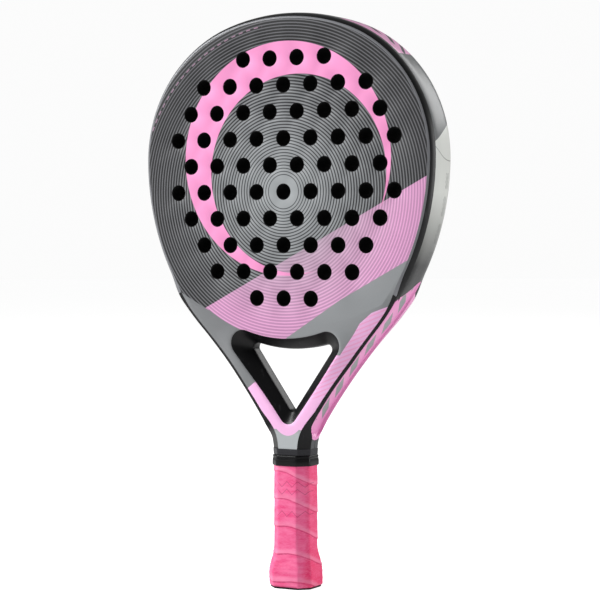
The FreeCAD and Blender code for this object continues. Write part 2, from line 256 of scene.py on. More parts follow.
def section_row(row, side, s, below_step):
    """Inset and depth of one section row at distances s; side (-1 at the front) is not used."""
    _, z, _, _ = outline.at(s)
    lip = smooth(z, FRONT_LIP_TOP_Z, FRONT_LIP_FULL_Z)
    lip_z = edge_depth(z)
    crest_inset, lip_inset, floor_base = arm_insets(z)
    if row < 4:
        arm = ((crest_inset, lip_z), (crest_inset - 0.25, lip_z - 0.1),
               (lip_inset + 0.3, lip_z - 0.5), (lip_inset, lip_z - 1.2))[row]
        neck = smooth(z, 140.0, 117.0) if row < 2 else smooth(z, 130.0, 118.5)
        inset = mix(mix(HEAD_SECTION[row][0], arm[0], lip), NECK_CORNERS[row][0], neck)
        depth = mix(mix(HEAD_SECTION[row][1], arm[1], lip), NECK_CORNERS[row][1], neck)
        return inset, depth
    squeeze = np.sqrt(np.clip(1 - (np.maximum(CHANNEL_END_Z - z, 0) / CHANNEL_END_R) ** 2, 0.001, 1))
    channel = CHANNEL_SECTION[row - 4]
    rim = lip_inset * smooth(z, 130.0, 119.0)
    groove = (channel[0] - CHANNEL_SECTION[0][0]) / (CHANNEL_SECTION[-1][0] - CHANNEL_SECTION[0][0])
    floor_inset = lip_inset + (floor_base - lip_inset) * groove * np.minimum(1.0, 1.5 * squeeze) - rim
    share = lip if row == 4 else below_step
    inset = mix(HEAD_SECTION[row][0], floor_inset, share)
    depth = mix(HEAD_SECTION[row][1], channel[1] * squeeze, share)
    return inset, depth


def station_list():
    """Distances along the outline: even, but close together at the step and channel end."""
    step = (outline.where(STEP_FRONT_Z) + outline.where(STEP_BACK_Z)) / 2
    spots = [0.0]
    while spots[-1] < outline.length:
        z = outline.at(spots[-1])[1]
        fine = FINE_STATIONS_LOW < z < FINE_STATIONS_HIGH
        spots.append(spots[-1] + (FINE_STATION_GAP if fine else STATION_GAP))
    spots = np.array(spots)
    spots = spots[(spots < outline.length - 0.5) & (np.abs(spots - step) > 1.2)]
    added = [step - STEP_HALF_GAP, step + STEP_HALF_GAP, outline.length]
    return np.sort(np.concatenate([spots, added])), step


stations, step_at = station_list()
ROWS = [(row, -1) for row in range(8)] + [(8, 0)] + [(row, 1) for row in reversed(range(8))]


def side_band():
    """Points of the right side, one array (stations, rows, xyz)."""
    grid = np.zeros((len(stations), len(ROWS), 3))
    below = (stations > step_at).astype(float)
    near = np.exp(-((stations - step_at) / 16.0) ** 2)
    near *= smooth(stations, step_at - 45.0, step_at - 30.0)
    near *= smooth(stations, step_at + 45.0, step_at + 30.0)
    for k, (row, side) in enumerate(ROWS):
        if row < 4:
            s = stations
        else:
            s = stations - row_warp(side * CHANNEL_SECTION[row - 4][1]) * near
        x, z, nx, nz = outline.at(s)
        inset, depth = section_row(row, side, s, below)
        grid[:, k, 0] = x - inset * nx
        grid[:, k, 1] = side * depth
        grid[:, k, 2] = z - inset * nz
    grid[0, :, 0] = 0.0
    return grid


# ---- throat opening ----
def throat_loop(shape):
    """Closed loop of the throat, from the tip round the right side, the bridge and the left."""
    half_angle = math.atan(shape["slope"])
    sin_a, cos_a = math.sin(half_angle), math.cos(half_angle)
    corner_r, bridge_r, tip_r = shape["corner_r"], shape["bridge_r"], shape["tip_r"]
    foot = (-corner_r * cos_a, shape["apex_z"] + corner_r * sin_a - BRIDGE_CENTRE_Z)
    half_b = foot[0] * sin_a + foot[1] * cos_a
    rest = foot[0] ** 2 + foot[1] ** 2 - (bridge_r + corner_r) ** 2
    run = -half_b - math.sqrt(half_b ** 2 - rest)
    corner = (foot[0] + run * sin_a, foot[1] + run * cos_a + BRIDGE_CENTRE_Z)
    tip_z = shape["apex_z"] + tip_r / sin_a
    normal = -math.degrees(half_angle)
    to_bridge = math.degrees(math.atan2(BRIDGE_CENTRE_Z - corner[1], -corner[0]))
    tip = arc_points(0.0, tip_z, tip_r, -90.0, normal, 9)
    bend = arc_points(corner[0], corner[1], corner_r, normal, to_bridge, 13)
    ease = np.linspace(0.0, 1.0, 26)[1:-1, None]
    straight = tip[-1] + (bend[0] - tip[-1]) * ease
    bridge_start = math.degrees(math.atan2(bend[-1][1] - BRIDGE_CENTRE_Z, bend[-1][0]))
    bridge = arc_points(0.0, BRIDGE_CENTRE_Z, bridge_r, bridge_start, -90.0, 19)[1:]
    half = np.concatenate([tip, straight, bend, bridge])
    return np.concatenate([half, half[1:-1][::-1] * np.array([-1.0, 1.0])])


def outset(loop, amount):
    """The loop moved outwards by an amount for each of its points."""
    along = np.roll(loop, -1, axis=0) - np.roll(loop, 1, axis=0)
    along /= np.linalg.norm(along, axis=1)[:, None]
    return loop + np.stack([along[:, 1], -along[:, 0]], axis=1) * np.asarray(amount)[:, None]


def throat_grid():
    """Rows of the throat's surface from the front face to the back: (rows, points, xyz)."""
    mouth, passage = throat_loop(MOUTH), throat_loop(PASSAGE)
    z = mouth[:, 1]
    soft = mix(3.2, 1.3, smooth(z, 135.0, 175.0))
    brim = outset(mouth, soft)
    lean = passage - mouth
    depth_m = face_depth(z)
    fall = depth_m - PASSAGE_HALF_DEPTH
    length = np.sqrt(np.sum(lean ** 2, axis=1) + fall ** 2)
    reach = (soft / length)[:, None]
    rows = []
    for t in (0.0, 0.2, 0.4, 0.6, 0.8, 1.0):
        a, b, c = (1 - t) ** 2, 2 * t * (1 - t), t ** 2
        flat = a * brim + b * mouth + c * (mouth + lean * reach)
        depth = a * face_depth(brim[:, 1]) + b * depth_m + c * (depth_m - fall * reach[:, 0])
        rows.append((flat, depth))
    for t in (0.35, 0.6, 0.8):
        share = mix(reach, 1.0, t)
        rows.append((mouth + lean * share, depth_m - fall * share[:, 0]))
    for t in (0.0, 0.33, 0.67, 1.0):
        a, b, c = (1 - t) ** 2, 2 * t * (1 - t), t ** 2
        share = 1 - PASSAGE_EDGE / length
        flat = a * (mouth + lean * share[:, None]) + (b + c) * passage
        rows.append((flat, a * (depth_m - fall * share) + b * PASSAGE_HALF_DEPTH
                     + c * (PASSAGE_HALF_DEPTH - PASSAGE_EDGE)))
    front = [np.stack([f[:, 0], -d, f[:, 1]], axis=1) for f, d in rows]
    middle = np.stack([passage[:, 0], np.zeros(len(passage)), passage[:, 1]], axis=1)
    back = [row * np.array([1.0, -1.0, 1.0]) for row in reversed(front)]
    return np.array(front + [middle] + back)


# ---- flat areas cut out by loops ----
def inside(points, loop):
    """Which points lie inside a closed loop."""
    x, z = points[:, 0:1], points[:, 1:2]
    x1, z1 = loop[:, 0], loop[:, 1]
    x2, z2 = np.roll(x1, -1), np.roll(z1, -1)
    spans = (z1 > z) != (z2 > z)
    with np.errstate(divide="ignore", invalid="ignore"):
        cross_x = x1 + (z - z1) * (x2 - x1) / (z2 - z1)
    return np.sum(spans & (x < cross_x), axis=1) % 2 == 1


def distance_to(points, loop):
    """Shortest distance from each point to a closed loop."""
    a, b = loop, np.roll(loop, -1, axis=0)
    ab = b - a
    span = np.maximum(np.sum(ab ** 2, axis=1), 1e-12)
    t = np.clip(np.sum((points[:, None] - a) * ab, axis=2) / span, 0, 1)
    return np.min(np.linalg.norm(points[:, None] - (a + ab * t[:, :, None]), axis=2), axis=1)


def fill_area(outer, holes, extra):
    """Triangles between an outer loop and its holes, through the extra points."""
    loops = [outer] + list(holes)
    points = np.concatenate(loops + [extra]) if len(extra) else np.concatenate(loops)
    edges, start = [], 0
    for loop in loops:
        n = len(loop)
        edges += [(start + i, start + (i + 1) % n) for i in range(n)]
        start += n
    verts, _, faces, _, _, _ = delaunay_2d_cdt([Vector(p) for p in points], edges, [], 0, 1e-7)
    flat = np.array([(v.x, v.y) for v in verts])
    faces = np.array(faces)
    centres = flat[faces].mean(axis=1)
    keep = inside(centres, outer)
    for hole in holes:
        keep &= ~inside(centres, hole)
    return flat, faces[keep]


# ---- meshes ----
class Builder:
    """Collects points and faces in millimetres, with a material number for each face."""

    def __init__(self):
        self.points, self.faces, self.paints = [], [], []

    def add(self, points, faces, paints):
        """Adds faces, numbered within their own points."""
        start = sum(len(p) for p in self.points)
        self.points.append(np.asarray(points, float))
        self.faces += [tuple(int(i) + start for i in f) for f in faces]
        self.paints += list(paints)

    def grid(self, rows, paint, closed=False):
        """A grid (rows, points, xyz); paint is a number or a function of row and column."""
        rows = np.asarray(rows)
        high, wide = rows.shape[:2]
        faces, paints = [], []
        for r in range(high - 1):
            for c in range(wide if closed else wide - 1):
                d = (c + 1) % wide
                faces.append((r * wide + c, r * wide + d, (r + 1) * wide + d, (r + 1) * wide + c))
                paints.append(paint(r, c) if callable(paint) else paint)
        self.add(rows.reshape(-1, 3), faces, paints)

    def make(self, name, materials, sharp_angle=32.0, fill_ends=None, weld=0.004):
        """The welded mesh as an object; fill_ends is the material that closes open ends."""
        mesh = bpy.data.meshes.new(name)
        points = np.concatenate(self.points) * MM
        mesh.from_pydata(points.tolist(), [], self.faces)
        for material in materials:
            mesh.materials.append(material)
        mesh.polygons.foreach_set("material_index", self.paints)
        bm = bmesh.new()
        bm.from_mesh(mesh)
        bmesh.ops.remove_doubles(bm, verts=bm.verts, dist=weld * MM)
        bmesh.ops.dissolve_degenerate(bm, dist=weld * MM / 4, edges=bm.edges)
        if fill_ends is not None:
            rim = [e for e in bm.edges if e.is_boundary]
            print(name, "edges closed at the ends", len(rim))
            made = bmesh.ops.holes_fill(bm, edges=rim, sides=0)
            for face in made["faces"]:
                face.material_index = fill_ends
        bmesh.ops.recalc_face_normals(bm, faces=bm.faces)
        open_edges = sum(1 for e in bm.edges if not e.is_manifold)
        print(name, "faces", len(bm.faces), "open or shared edges", open_edges)
        bm.to_mesh(mesh)
        bm.free()
        mesh.polygons.foreach_set("use_smooth", [True] * len(mesh.polygons))
        mesh.set_sharp_from_angle(angle=math.radians(sharp_angle))
        piece = bpy.data.objects.new(name, mesh)
        bpy.context.scene.collection.objects.link(piece)
        return piece


def lifted(flat, depth):
    """Points x, z at a depth, as x, y, z."""
    return np.stack([flat[:, 0], depth, flat[:, 1]], axis=1)


# ---- frame shell ----
SHEET_COUNTS = head_loop(SHEET_INSET, SHEET_BOTTOM_Z, SHEET_SPACING)[1]
sheet_loop = head_points(SHEET_INSET, SHEET_BOTTOM_Z, SHEET_COUNTS)
core_loop = head_points(CORE_INSET, CORE_BOTTOM_Z, SHEET_COUNTS)


def hex_points(low, high, step):
    """Points of a triangular lattice between two corners."""
    points = []
    row_step = step * math.sqrt(3) / 2
    for j, z in enumerate(np.arange(low[1], high[1], row_step)):
        shift = step / 2 if j % 2 else 0.0
        points += [(x + shift, z) for x in np.arange(low[0], high[0], step)]
    return np.array(points)


COVER_GRID_LOW = (-100.0, NECK_BOTTOM_Z + 1)
COVER_GRID_HIGH = (100.0, 238.0)
COVER_GRID_STEP = 2.6
COVER_GRID_CLEAR = 1.0


def frame_cover(rim, rim_depth, brim):
    """Front or back of the frame, from its outer edge to the throat and the face sheet."""
    outer = np.concatenate([rim, rim[1:-1][::-1] * np.array([-1.0, 1.0])])
    if rim[-1][0] > 0:
        foot = np.linspace(rim[-1][0], -rim[-1][0], 6)[1:-1]
        left = rim[1:][::-1] * np.array([-1.0, 1.0])
        outer = np.concatenate([rim, np.stack([foot, np.full(4, rim[-1][1])], axis=1), left])
    grid = hex_points(COVER_GRID_LOW, COVER_GRID_HIGH, COVER_GRID_STEP)
    keep = inside(grid, outer) & ~inside(grid, brim) & ~inside(grid, sheet_loop)
    grid = grid[keep]
    gaps = np.min([distance_to(grid, loop) for loop in (outer, brim, sheet_loop)], axis=0)
    grid = grid[gaps > COVER_GRID_CLEAR]
    flat, faces = fill_area(outer, [brim, sheet_loop], grid)
    to_edge = distance_to(flat, outer)
    to_crest = np.minimum(distance_to(flat, brim), distance_to(flat, sheet_loop))
    share = to_crest / np.maximum(to_crest + to_edge, 1e-9)
    z = flat[:, 1]
    crest = face_depth(z)
    edge = np.interp(-z, -rim[:, 1], rim_depth)
    depth = crest - (crest - edge) * share ** 1.4
    return flat, faces, depth


PRINT, SIDE, BLACK, EDGE_LINE = 0, 1, 2, 3
HEAD_PAINT_Z = 236.0


def frame_shell(materials):
    """Outside of the frame: side bands, throat, covers and the face's seat, with no inner wall."""
    build = Builder()
    band = side_band()
    wide = len(ROWS) - 1

    def band_paint(station, k):
        row = min(k, wide - 1 - k)
        z = band[station, k, 2]
        if row < 2:
            return EDGE_LINE if z > HEAD_PAINT_Z else BLACK
        if row == 2 or (row == 3 and z > HEAD_PAINT_Z):
            return BLACK
        return SIDE

    build.grid(band, band_paint)
    build.grid(band * np.array([-1.0, 1.0, 1.0]), band_paint)
    throat = throat_grid()
    last = len(throat) - 2

    def throat_paint(row, c):
        row = min(row, last - row)
        return PRINT if row < 3 else BLACK

    build.grid(throat, throat_paint, closed=True)
    for side, k, edge in ((-1, 0, 0), (1, wide, -1)):
        rim = band[:, k][:, [0, 2]]
        brim = throat[edge][:, [0, 2]]
        flat, faces, depth = frame_cover(rim, np.abs(band[:, k, 1]), brim)
        build.add(lifted(flat, side * depth), faces, [PRINT] * len(faces))
    low = HALF_DEPTH - SHEET_THICKNESS
    recess = [(sheet_loop, face_depth(sheet_loop[:, 1])), (sheet_loop, low), (core_loop, low)]
    rows = [lifted(loop, -d * np.ones(len(loop))) for loop, d in recess]
    rows += [row * np.array([1.0, -1.0, 1.0]) for row in reversed(rows)]
    build.grid(rows, BLACK, closed=True)
    return build.make("frame_shell", materials, fill_ends=BLACK)


# ---- drilled face sheets ----
def hole_places():
    """Centres of the air holes: full rows from the top down, then a short last row."""
    row_step = HOLE_PITCH * math.sqrt(3) / 2
    places = []
    for index, count in enumerate(HOLES_PER_ROW):
        z = SWEET_SPOT_Z + (TOP_HOLE_ROW - index) * row_step
        places += [((2 * i - count + 1) * HOLE_PITCH / 2, z) for i in range(count)]
    last_z = SWEET_SPOT_Z + (TOP_HOLE_ROW - len(HOLES_PER_ROW)) * row_step
    return places + [(half * HOLE_PITCH / 2, last_z) for half in BOTTOM_ROW_HALFPITCHES]


def face_sheet(name, side, materials):
    """One perforated sheet, with a small rounding on each hole's outer edge."""
    build = Builder()
    rim = ((0.45, 0.0), (0.22, 0.07), (0.06, 0.2), (0.0, 0.42), (0.0, SHEET_THICKNESS))
    circles = [[arc_points(x, z, HOLE_R + grow, 0, 360, HOLE_SIDES + 1)[:-1] for grow, _ in rim]
               for x, z in hole_places()]
    none = np.zeros((0, 2))
    outer = [c[0] for c in circles]
    inner = [c[-1] for c in circles]
    for depth, holes, paint in ((HALF_DEPTH, outer, 0), (HALF_DEPTH - SHEET_THICKNESS, inner, 1)):
        flat, faces = fill_area(sheet_loop, holes, none)
        build.add(lifted(flat, np.full(len(flat), side * depth)), faces, [paint] * len(faces))
    for circle in circles:
        rows = [lifted(c, np.full(HOLE_SIDES, side * (HALF_DEPTH - drop)))
                for c, (_, drop) in zip(circle, rim)]
        build.grid(rows, 1, closed=True)
    wall = [lifted(sheet_loop, np.full(len(sheet_loop), side * d))
            for d in (HALF_DEPTH, HALF_DEPTH - SHEET_THICKNESS)]
    build.grid(wall, 1, closed=True)
    return build.make(name, materials, sharp_angle=20.0)


# ---- handle ----
LEG_HALF_WIDTH = 14.2
LEG_HALF_DEPTH = 12.6
GRIP_SKIN = 2.3
GRIP_CHAMFER = 7.7
GRIP_BOTTOM_Z = 1.3
CUSHION_BOTTOM_Z = 4.0
GRIP_TOP_Z = 100.5
FLARE_GROWTH = 3.0
FLARE_WIDEST_Z = 12.0
FLARE_TOP_Z = 34.0
WRAP_PITCH = 21.0
WRAP_STEP = 0.42
WRAP_ROUNDING = 2.6
CAP_TOP_Z = 3.9
CAP_OVERHANG = 4.8
CORD_HOLE_R = 3.0


def octagon_ring(half_x, half_y, chamfer, rounding, per_side=8, per_corner=5):
    """Octagon with rounded corners: points and outward normals, anticlockwise from +X."""
    ix, iy = half_x - chamfer, half_y - chamfer
    corners = [(half_x, -iy), (half_x, iy), (ix, half_y), (-ix, half_y),
               (-half_x, iy), (-half_x, -iy), (-ix, -half_y), (ix, -half_y)]
    corners = np.array(corners)
    points, normals = [], []
    for i in range(8):
        before, here, after = corners[i - 1], corners[i], corners[(i + 1) % 8]
        arriving = (here - before) / np.linalg.norm(here - before)
        leaving = (after - here) / np.linalg.norm(after - here)
        turn = math.acos(np.clip(np.dot(arriving, leaving), -1, 1))
        trim = rounding * math.tan(turn / 2)
        start = here - arriving * trim
        first = math.atan2(-arriving[0], arriving[1])
        centre = start - rounding * np.array([math.cos(first), math.sin(first)])
        for t in np.linspace(0, 1, per_corner):
            a = first + turn * t
            normal = np.array([math.cos(a), math.sin(a)])
            points.append(centre + rounding * normal)
            normals.append(normal)
        end = points[-1]
        following = corners[(i + 2) % 8] - after
        following = following / np.linalg.norm(following)
        next_turn = math.acos(np.clip(np.dot(leaving, following), -1, 1))
        next_start = after - leaving * rounding * math.tan(next_turn / 2)
        for t in np.linspace(0, 1, per_side + 2)[1:-1]:
            points.append(end + (next_start - end) * t)
            normals.append(normals[-1])
    return np.array(points), np.array(normals)


def grip_growth(z):
    """The flare near the butt end, eased at both ends."""
    rise = smooth(z, FLARE_TOP_Z, FLARE_WIDEST_Z)
    return FLARE_GROWTH * rise


def grip_ring(z, skin, rounding):
    grown = skin + float(grip_growth(np.array(z)))
    return octagon_ring(LEG_HALF_WIDTH + grown, LEG_HALF_DEPTH + grown, GRIP_CHAMFER, rounding)


def level_row(ring, z):
    """Points of a ring, an array of x, y, placed at height z."""
    return np.concatenate([ring, np.full((len(ring), 1), z)], axis=1)


def overgrip(materials):
    """Outside of the wound strip: each turn laps over the one below. It has no inner wall."""
    build = Builder()
    levels = np.arange(GRIP_BOTTOM_Z, GRIP_TOP_Z + 0.01, WRAP_LEVEL_STEP)
    rows = []
    ring, _ = grip_ring(GRIP_BOTTOM_Z, GRIP_SKIN, WRAP_ROUNDING)
    turn = np.unwrap(np.arctan2(ring[:, 1], ring[:, 0])) / (2 * math.pi)
    for z in levels:
        ring, normal = grip_ring(z, GRIP_SKIN - 0.5, WRAP_ROUNDING)
        lap = (z / WRAP_PITCH + turn + 0.12 * np.sin(turn * 4 * math.pi + z * 0.02)) % 1.0
        height = WRAP_STEP * (1 - lap) * smooth(lap, 0.0, 0.045)
        height += 0.10 * np.exp(-((lap - 0.06) / 0.03) ** 2)
        pucker = 0.10 * np.sin(z * 1.55 + 5 * np.sin(turn * 2 * math.pi) + 2 * np.sin(z * 0.37))
        pucker *= smooth(np.array(z), 36.0, 20.0)
        stretch = 0.06 * np.sin(z * 0.62 + turn * 14.0) * np.sin(turn * 25.0 + z * 0.11)
        roll = 1.6 * (1 - math.sqrt(max(0.0, 1 - max(0.0, (4.8 - z) / 3.5) ** 2)))
        offset = height + pucker + stretch - roll
        rows.append(level_row(ring + normal * offset[:, None], z))
    low, _ = grip_ring(GRIP_BOTTOM_Z, GRIP_SKIN - 1.2, 2.2)
    high, _ = grip_ring(GRIP_TOP_Z, GRIP_SKIN - 1.2, 2.2)
    inner = low - 0.9 * np.sign(low)
    for z in (levels[0], CUSHION_BOTTOM_Z):
        rows.insert(0, level_row(inner, z))
    rows.append(level_row(high, GRIP_TOP_Z))
    build.grid(rows, 0, closed=True)
    return build.make("overgrip_wrap", materials, sharp_angle=60.0, fill_ends=0)


def banded(name, levels, materials, sharp_angle=40.0):
    """Body of rounded octagons closed across both ends, with no inner wall.

    Levels are (z, half width, half depth, chamfer, rounding).
    """
    build = Builder()
    rows = [level_row(octagon_ring(*shape)[0], z) for z, *shape in levels]
    build.grid(rows, 0, closed=True)
    return build.make(name, materials, sharp_angle=sharp_angle, fill_ends=0)


def cushion_sleeve(materials):
    """Outside of the cushioned grip under the wrap, with the same flare."""
    levels = []
    for z in np.linspace(CUSHION_BOTTOM_Z + 0.1, GRIP_TOP_Z - 0.1, 60):
        grown = GRIP_SKIN - 0.8 + float(grip_growth(z)) - 1.8 * float(smooth(z, 8.0, 4.0))
        levels.append((z, LEG_HALF_WIDTH + grown, LEG_HALF_DEPTH + grown, GRIP_CHAMFER - 0.3, 2.4))
    return banded("cushion_sleeve", levels, materials)


def rubber_collar(materials):
    """Outside of the sleeve over the wrap's end: lower lip, step, and a ring near the top."""
    outline_rows = ((97.5, 0.2), (97.6, 0.42), (97.95, 0.55), (98.5, 0.6), (100.8, 0.6), (101.6, 0.55),
                    (102.1, 0.45), (102.5, 0.35), (103.3, 0.3), (103.5, 0.1), (103.8, 0.08),
                    (104.0, 0.3), (104.9, 0.32), (105.35, 0.25), (105.6, 0.05))
    levels = [(z, LEG_HALF_WIDTH + GRIP_SKIN + skin, LEG_HALF_DEPTH + GRIP_SKIN + skin,
               GRIP_CHAMFER, 2.8 + skin) for z, skin in outline_rows]
    return banded("rubber_collar_sleeve", levels, materials)


def finishing_tape(materials):
    """Outside of two turns of tape round the neck, the upper one lapping over the lower."""
    outline_rows = ((106.0, 0.02), (106.05, 0.3), (108.2, 0.32),
                    (108.25, 0.4), (110.9, 0.38), (111.0, 0.02))
    table = outline.table
    levels = []
    for z, skin in outline_rows:
        half_x = float(np.interp(-max(z, NECK_BOTTOM_Z), -table[:, 1], table[:, 0]))
        levels.append((z, half_x + skin, NECK_HALF_DEPTH + skin, 7.5, 1.6))
    return banded("finishing_tape_wrap", levels, materials, sharp_angle=30.0)


def butt_cap(materials):
    """Cap plate, set in under the wrap's edge, with a shallow ring groove and the cord hole."""
    build = Builder()
    half_x = LEG_HALF_WIDTH + CAP_OVERHANG
    half_y = LEG_HALF_DEPTH + CAP_OVERHANG
    profile = ((CAP_TOP_Z, 2.4), (CAP_TOP_Z, 2.0), (1.35, 2.0), (1.15, 0.7), (0.55, 0.8), (0.15, 1.1),
               (0.0, 1.7), (0.0, 5.0), (0.35, 5.3), (0.35, 6.2), (0.0, 6.5))
    rows = []
    for z, inset in profile:
        ring, _ = octagon_ring(half_x - inset, half_y - inset, 8.0 - 0.4 * inset, 3.0)
        rows.append(level_row(ring, z))
    ring = rows[-1][:, :2]
    turn = np.arctan2(ring[:, 1], ring[:, 0])
    circle = np.stack([np.cos(turn), np.sin(turn)], axis=1)
    for z, radius in ((0.0, CORD_HOLE_R + 0.7), (0.2, CORD_HOLE_R + 0.15), (0.6, CORD_HOLE_R),
                      (CAP_TOP_Z, CORD_HOLE_R)):
        rows.append(level_row(circle * radius, z))
    rows.append(rows[0].copy())
    build.grid(rows, 0, closed=True)
    return build.make("butt_cap_plate", materials, sharp_angle=35.0)


# ---- materials ----
def linear(red, green, blue):
    """Linear colour from 8-bit display values."""
    values = [c / 255 for c in (red, green, blue)]
    return tuple(c / 12.92 if c <= 0.04045 else ((c + 0.055) / 1.055) ** 2.4 for c in values) + (1.0,)


class Field:
    """A number that varies over a surface, as a node output in the current material."""

    tree = None

    def __init__(self, socket):
        self.socket = socket

    @staticmethod
    def put(value, slot):
        """Links a field to a slot, or sets a plain value on it."""
        if isinstance(value, Field):
            Field.tree.links.new(value.socket, slot)
        else:
            slot.default_value = value

    @staticmethod
    def maths(operation, *values, clamp=False):
        node = Field.tree.nodes.new("ShaderNodeMath")
        node.operation = operation
        node.use_clamp = clamp
        for value, slot in zip(values, node.inputs):
            Field.put(value, slot)
        return Field(node.outputs[0])

    def above(self, level, softness=0.25):
        """0 below a level and 1 above it, changing over softness."""
        return Field.maths("ADD", (self - level) / softness, 0.5, clamp=True)

    def below(self, level, softness=0.25):
        return Field.maths("SUBTRACT", 0.5, (self - level) / softness, clamp=True)

    def near(self, level, reach, softness=0.3):
        """1 within reach of a level and 0 beyond it."""
        return Field.maths("ABSOLUTE", self - level).below(reach, softness)

    def fraction(self):
        return Field.maths("FRACT", self)

    def stripes(self, pitch, reach, softness):
        """1 in stripes a pitch apart, each reach pitches wide to either side."""
        return (self / pitch).fraction().near(0.5, reach, softness)

    def both(self, other):
        return Field.maths("MINIMUM", self, other)

    def either(self, other):
        return Field.maths("MAXIMUM", self, other)


def operator(operation, swapped):
    """A method of Field for + - * / with a field or a number on the other side."""
    def apply(self, other):
        return Field.maths(operation, *((other, self) if swapped else (self, other)))
    return apply


SYMBOLS = {"add": "ADD", "sub": "SUBTRACT", "mul": "MULTIPLY", "truediv": "DIVIDE"}
for symbol, operation in SYMBOLS.items():
    setattr(Field, f"__{symbol}__", operator(operation, False))
    setattr(Field, f"__r{symbol}__", operator(operation, True))


def material(name, roughness, coat=0.0, coat_roughness=0.1, specular=0.5):
    """A new material, made current for the fields that follow, and its shader."""
    made = bpy.data.materials.new(name)
    made.use_nodes = True
    Field.tree = made.node_tree
    shader = made.node_tree.nodes["Principled BSDF"]
    shader.inputs["Roughness"].default_value = roughness
    shader.inputs["Coat Weight"].default_value = coat
    shader.inputs["Coat Roughness"].default_value = coat_roughness
    shader.inputs["Specular IOR Level"].default_value = specular
    return made, shader


def place():
    """x, y, z over the surface in millimetres."""
    coordinates = Field.tree.nodes.new("ShaderNodeTexCoord")
    split = Field.tree.nodes.new("ShaderNodeSeparateXYZ")
    Field.tree.links.new(coordinates.outputs["Object"], split.inputs[0])
    return [Field(split.outputs[k]) / MM for k in range(3)]


def noise(size, detail=3.0, stretch=(1.0, 1.0, 1.0), roughness=0.55):
    """Noise from 0 to 1 with grains about size millimetres across."""
    coordinates = Field.tree.nodes.new("ShaderNodeTexCoord")
    mapping = Field.tree.nodes.new("ShaderNodeMapping")
    mapping.inputs["Scale"].default_value = stretch
    Field.tree.links.new(coordinates.outputs["Object"], mapping.inputs["Vector"])
    node = Field.tree.nodes.new("ShaderNodeTexNoise")
    node.inputs["Scale"].default_value = 1.0 / (size * MM)
    node.inputs["Detail"].default_value = detail
    node.inputs["Roughness"].default_value = roughness
    Field.tree.links.new(mapping.outputs["Vector"], node.inputs["Vector"])
    return Field(node.outputs["Fac"])


def blend(share, low, high):
    """Colour between two colours or colour fields."""
    node = Field.tree.nodes.new("ShaderNodeMix")
    node.data_type = "RGBA"
    colours = [slot for slot in node.inputs if slot.type == "RGBA"]
    Field.put(share, node.inputs[0])
    Field.put(low, colours[0])
    Field.put(high, colours[1])
    return Field(next(out for out in node.outputs if out.type == "RGBA"))


def dressed(made, shader, colour, roughness, height, strength, distance):
    """The material with its colour, roughness and relief; distance is in millimetres."""
    links = Field.tree.links
    links.new(colour.socket, shader.inputs["Base Color"])
    links.new(roughness.socket, shader.inputs["Roughness"])
    node = Field.tree.nodes.new("ShaderNodeBump")
    node.inputs["Strength"].default_value = strength
    node.inputs["Distance"].default_value = distance * MM
    links.new(height.socket, node.inputs["Height"])
    links.new(node.outputs["Normal"], shader.inputs["Normal"])
    return made


def radius_from(x, z, centre_x, centre_z):
    dx, dz = x - centre_x, z - centre_z
    return Field.maths("SQRT", dx * dx + dz * dz)


# ---- the print's layout, in millimetres seen from the front ----
GREY = linear(142, 145, 147)
LEFT_GREY = linear(121, 123, 125)
# the neck's grey is painted lighter than GREY: painted light from the front and below
NECK_GREY_WITH_PAINTED_LIGHT = linear(179, 184, 186)
LIGHT_PINK = linear(250, 154, 208)
ARM_PINK = linear(255, 194, 240)
ARM_PINK_LINE = linear(255, 160, 214)
RING_PITCH = 2.45
PLAIN_CENTRE_R = 12.0
CRESCENT_OUTER = (2, SWEET_SPOT_Z + 26, 92.0)
CRESCENT_INNER = (12, SWEET_SPOT_Z + 14, 78.0)
DASH_R = 131.5
DASH_DEGREES = 3.1
DASH_SPAN = (1.72, 2.75)
PINK_CORNER = ((-71.7, 221.9), (124.7, 325.0))
GREY_CORNER = ((0.9, 198.3), (50.0, 229.7), (110.8, 262.2))
ARM_PINK_TOP = ((67.0, 212.0), (77.0, 220.0), (90.5, 225.0))
LEFT_PINK_TOP = ((-33.5, 160.0), (-26.3, 165.0))
SOFT = 0.3


def above_line(x, z, start, end):
    """How far z is above the line through two points."""
    slope = (end[1] - start[1]) / (end[0] - start[0])
    return z - (x - start[0]) * slope - start[1]


def ring_print(x, z):
    """Fine rings round the sweet spot, crossed by a pink corner and a crescent."""
    dz = z - SWEET_SPOT_Z
    r = radius_from(x, z, 0.0, SWEET_SPOT_Z)
    turn = Field.maths("ARCTAN2", dz, x)
    far = Field.maths("DIVIDE", r - 14.0, 110.0, clamp=True)
    wave = Field.maths("ABSOLUTE", (r / RING_PITCH).fraction() - 0.5)
    ink = wave.below(far * 0.20 + 0.13, 0.16).both(r.above(PLAIN_CENTRE_R, 1.0))
    light = blend(far, linear(160, 164, 166), linear(102, 102, 106))
    dark = blend(far, linear(34, 34, 38), linear(8, 8, 10))
    rings = blend(ink, light, dark)
    glow = Field.maths("DIVIDE", r - 25.0, 80.0, clamp=True)
    pink_light = blend(glow, linear(172, 166, 174), linear(236, 172, 216))
    pink_dark = blend(glow, linear(148, 138, 148), linear(196, 138, 180))
    pink = blend(ink, pink_light, pink_dark)
    colour = blend(above_line(x, z, *PINK_CORNER).below(0.0, SOFT), rings, pink)

    outer = radius_from(x, z, *CRESCENT_OUTER[:2]).below(CRESCENT_OUTER[2], SOFT)
    inner = radius_from(x, z, *CRESCENT_INNER[:2]).above(CRESCENT_INNER[2], SOFT)
    colour = blend(outer.both(inner), colour, LIGHT_PINK)

    # short dashes along the head's upper left edge
    around = (turn * math.degrees(1.0)).stripes(DASH_DEGREES, 0.26, 0.06)
    span = turn.above(DASH_SPAN[0], 0.01).both(turn.below(DASH_SPAN[1], 0.01))
    dash = r.near(DASH_R, 0.45).both(around).both(span)
    return blend(dash * 0.55, colour, linear(205, 160, 190)), r


